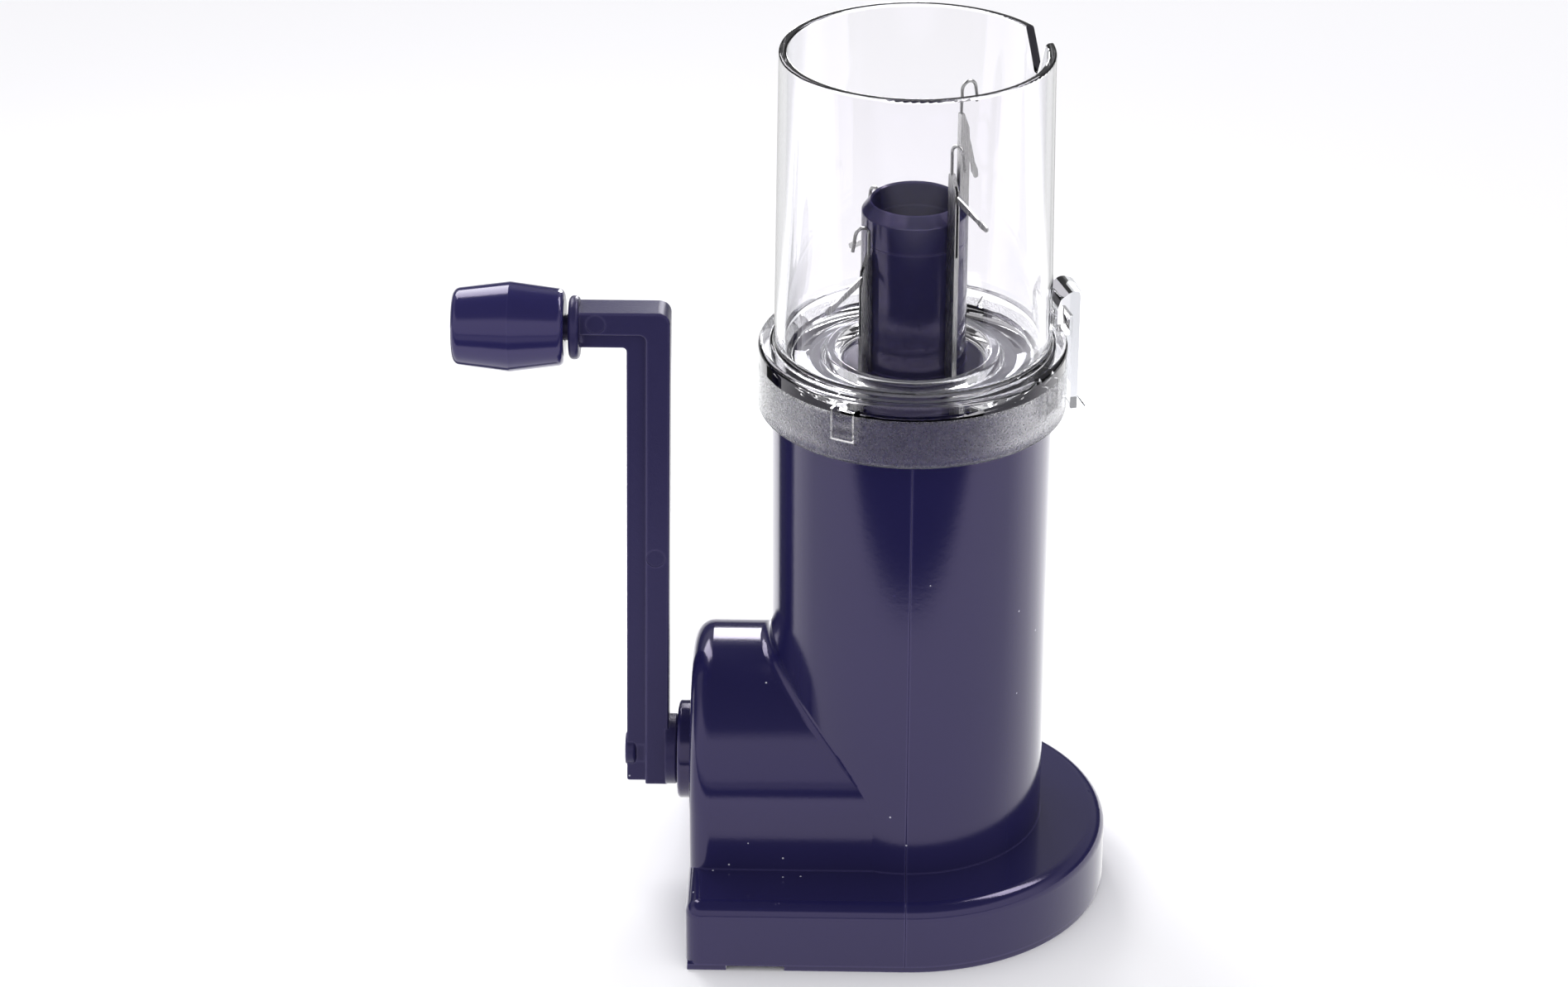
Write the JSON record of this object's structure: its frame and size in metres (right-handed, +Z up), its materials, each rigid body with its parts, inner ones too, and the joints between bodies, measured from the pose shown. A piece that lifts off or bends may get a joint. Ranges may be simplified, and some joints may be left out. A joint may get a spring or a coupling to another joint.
{
  "type": "hand crank cord knitting mill",
  "caption": "Hand-cranked mill whose bevel gears turn a grooved cylinder of latch needles inside a clear guard, knitting a tubular cord that leaves through the base.",
  "frame": {"origin": "on the ground plane, on the axis of the body tube and needle cylinder", "axes": "+Z up along the needle cylinder, crank on the -X side, +Y to the back"},
  "size_m": [0.1229, 0.077, 0.1694],
  "materials": {
    "housing": "glossy moulded, deep aubergine navy",
    "inner_plastic": "natural moulded, satin",
    "clear": "clear moulded plastic with a finely grained collar skirt",
    "steel": "bright drawn steel"
  },
  "bodies": {
    "stand": {"housing_crank_half": "housing", "housing_round_half": "housing", "bottom_plate": "housing", "cord_guide": "housing", "plate_screws": "steel", "shaft_bushing": "housing", "lower_cam": "inner_plastic", "upper_cam": "inner_plastic", "top_guard": "clear"},
    "crank": {"crank_arm": "housing", "drive_gear": "inner_plastic"},
    "grip": {"knob": "housing"},
    "rotor": {"needle_cylinder": "housing", "rotor_gear": "inner_plastic", "needle_cap": "housing"},
    "needle_body_1": {"needle_1": "steel", "latch_pin_1": "steel"},
    "needle_body_2": {"needle_2": "steel", "latch_pin_2": "steel"},
    "needle_body_3": {"needle_3": "steel", "latch_pin_3": "steel"},
    "needle_body_4": {"needle_4": "steel", "latch_pin_4": "steel"},
    "latch_body_1": {"latch_1": "steel"},
    "latch_body_2": {"latch_2": "steel"},
    "latch_body_3": {"latch_3": "steel"},
    "latch_body_4": {"latch_4": "steel"}
  },
  "joints": [
    {"name": "crank_turn", "type": "hinge", "parent": "stand", "child": "crank", "pos_m": [0, 0, 0.0256], "axis": [1, 0, 0], "continuous": true},
    {"name": "knob_spin", "type": "hinge", "parent": "crank", "child": "grip", "pos_m": [-0.074, 0, 0.1146], "axis": [1, 0, 0], "continuous": true},
    {"name": "rotor_spin", "type": "hinge", "parent": "stand", "child": "rotor", "pos_m": [0, 0, 0], "axis": [0, 0, 1], "continuous": true},
    {"name": "needle_slide_1", "type": "slide", "parent": "rotor", "child": "needle_body_1", "axis": [0, 0, 1], "range_m": [-0.0037, 0.0237]},
    {"name": "needle_slide_2", "type": "slide", "parent": "rotor", "child": "needle_body_2", "axis": [0, 0, 1], "range_m": [-0.0204, 0.007]},
    {"name": "needle_slide_3", "type": "slide", "parent": "rotor", "child": "needle_body_3", "axis": [0, 0, 1], "range_m": [-0.0262, 0.0012]},
    {"name": "needle_slide_4", "type": "slide", "parent": "rotor", "child": "needle_body_4", "axis": [0, 0, 1], "range_m": [-0.0045, 0.0229]},
    {"name": "latch_swing_1", "type": "hinge", "parent": "needle_body_1", "child": "latch_body_1", "pos_m": [-0.00901, -0.00691, 0.1284], "axis": [0.6088, -0.7934, 0], "range_deg": [-88, 49]},
    {"name": "latch_swing_2", "type": "hinge", "parent": "needle_body_2", "child": "latch_body_2", "pos_m": [0.00691, -0.00901, 0.1451], "axis": [0.7934, 0.6088, 0], "range_deg": [-77, 60]},
    {"name": "latch_swing_3", "type": "hinge", "parent": "needle_body_3", "child": "latch_body_3", "pos_m": [0.00901, 0.00691, 0.1509], "axis": [-0.6088, 0.7934, 0], "range_deg": [-130, 7]},
    {"name": "latch_swing_4", "type": "hinge", "parent": "needle_body_4", "child": "latch_body_4", "pos_m": [-0.00691, 0.00901, 0.1292], "axis": [-0.7934, -0.6088, 0], "range_deg": [-85, 52]}
  ],
  "couplings": [
    {"joint": "rotor_spin", "follows": "crank_turn", "ratio": 1}
  ]
}
